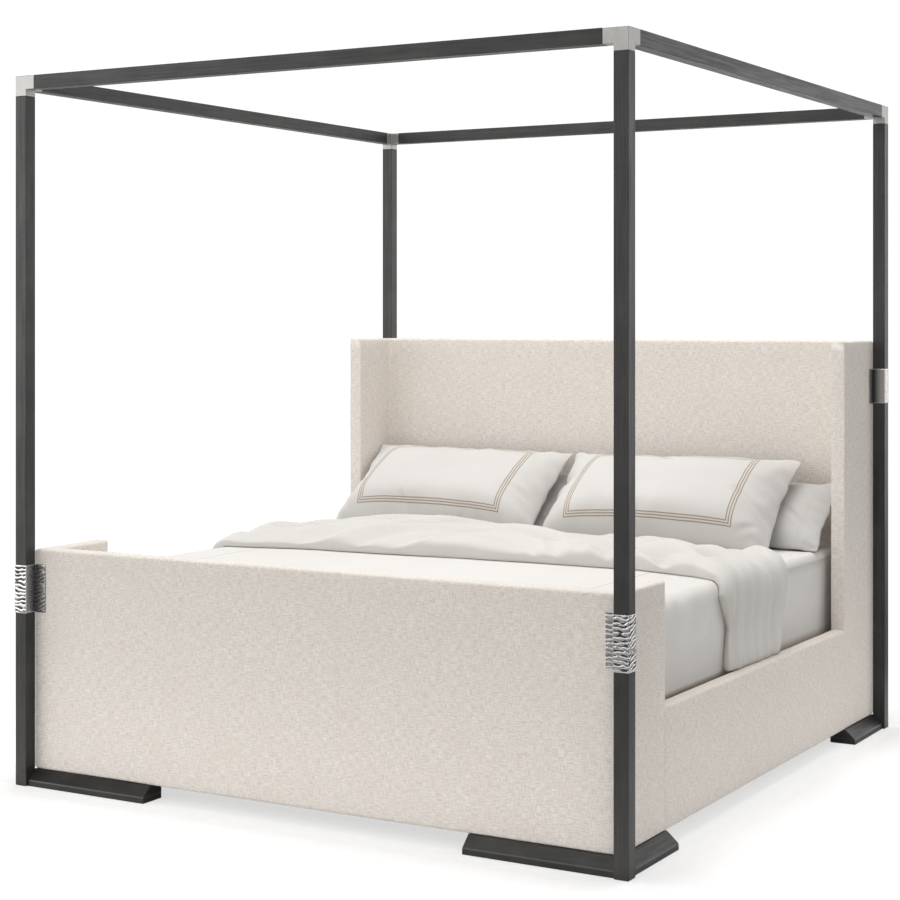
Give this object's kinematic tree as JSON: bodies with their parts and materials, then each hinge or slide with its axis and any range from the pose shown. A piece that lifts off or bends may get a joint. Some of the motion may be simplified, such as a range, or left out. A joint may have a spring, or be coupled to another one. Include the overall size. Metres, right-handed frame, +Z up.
{
  "type": "canopy bed",
  "caption": "Four poster canopy bed: square dark posts and top frame, wing-sided linen headboard and footboard, mattress, folded duvet and leaning pillows.",
  "frame": {"origin": "on the floor, under the middle of the bedstead's outline", "axes": "+Z up, +Y from the foot of the bed to the headboard, +X to the right seen from the foot"},
  "size_m": [2.1716, 2.2836, 2.286],
  "materials": {
    "dark_wood": "dark charcoal stain with a fine brushed grain, satin",
    "satin_nickel": "pale satin nickel",
    "hammered_silver": "polished silver with a hammered, bark-like relief",
    "linen_upholstery": "oatmeal linen weave over foam",
    "pine": "plain sanded pine",
    "zinc_steel": "zinc plated",
    "white_cotton": "washed white cotton"
  },
  "bodies": {
    "bedstead": {"beam_leg_back": "pine", "beam_leg_front": "pine", "canopy_rail_back": "dark_wood", "canopy_rail_front": "dark_wood", "canopy_rail_left": "dark_wood", "canopy_rail_right": "dark_wood", "centre_beam": "pine", "corner_bracket_back_left": "satin_nickel", "corner_bracket_back_right": "satin_nickel", "corner_bracket_front_left": "satin_nickel", "corner_bracket_front_right": "satin_nickel", "foot_bar_across_back_left": "dark_wood", "foot_bar_across_back_right": "dark_wood", "foot_bar_across_front_left": "dark_wood", "foot_bar_across_front_right": "dark_wood", "foot_bar_along_back_left": "dark_wood", "foot_bar_along_back_right": "dark_wood", "foot_bar_along_front_left": "dark_wood", "foot_bar_along_front_right": "dark_wood", "footboard_panel": "linen_upholstery", "footboard_wing_left": "linen_upholstery", "footboard_wing_right": "linen_upholstery", "headboard_panel": "linen_upholstery", "headboard_wing_left": "linen_upholstery", "headboard_wing_right": "linen_upholstery", "post_back_left": "dark_wood", "post_back_right": "dark_wood", "post_clamp_back_left": "hammered_silver", "post_clamp_back_right": "hammered_silver", "post_clamp_front_left": "hammered_silver", "post_clamp_front_right": "hammered_silver", "post_front_left": "dark_wood", "post_front_right": "dark_wood", "side_rail_left": "linen_upholstery", "side_rail_right": "linen_upholstery", "slat_01": "pine", "slat_02": "pine", "slat_03": "pine", "slat_04": "pine", "slat_05": "pine", "slat_06": "pine", "slat_07": "pine", "slat_08": "pine", "slat_09": "pine", "slat_10": "pine", "slat_11": "pine", "slat_cleat_left": "pine", "slat_cleat_right": "pine", "splice_plate_back_left": "zinc_steel", "splice_plate_back_right": "zinc_steel", "splice_plate_front_left": "zinc_steel", "splice_plate_front_right": "zinc_steel"},
    "mattress": {"mattress": "white_cotton", "top_sheet": "white_cotton"},
    "duvet": {"duvet": "white_cotton"},
    "pillow_left": {"pillow_left": "white_cotton"},
    "pillow_right": {"pillow_right": "white_cotton"},
    "sham_left": {"sham_left": "white_cotton"},
    "sham_right": {"sham_right": "white_cotton"}
  },
  "joints": [
    {"name": "mattress_lift", "type": "slide", "parent": "bedstead", "child": "mattress", "axis": [0, 0, 1], "range_m": [0, 0.45]},
    {"name": "duvet_lift", "type": "slide", "parent": "mattress", "child": "duvet", "axis": [0, 0, 1], "range_m": [0, 0.36]},
    {"name": "pillow_left_lift", "type": "slide", "parent": "mattress", "child": "pillow_left", "axis": [0, 0, 1], "range_m": [0, 0.35]},
    {"name": "pillow_right_lift", "type": "slide", "parent": "mattress", "child": "pillow_right", "axis": [0, 0, 1], "range_m": [0, 0.35]},
    {"name": "sham_left_lift", "type": "slide", "parent": "pillow_left", "child": "sham_left", "axis": [0, 0, 1], "range_m": [0, 0.35]},
    {"name": "sham_right_lift", "type": "slide", "parent": "pillow_right", "child": "sham_right", "axis": [0, 0, 1], "range_m": [0, 0.35]}
  ]
}
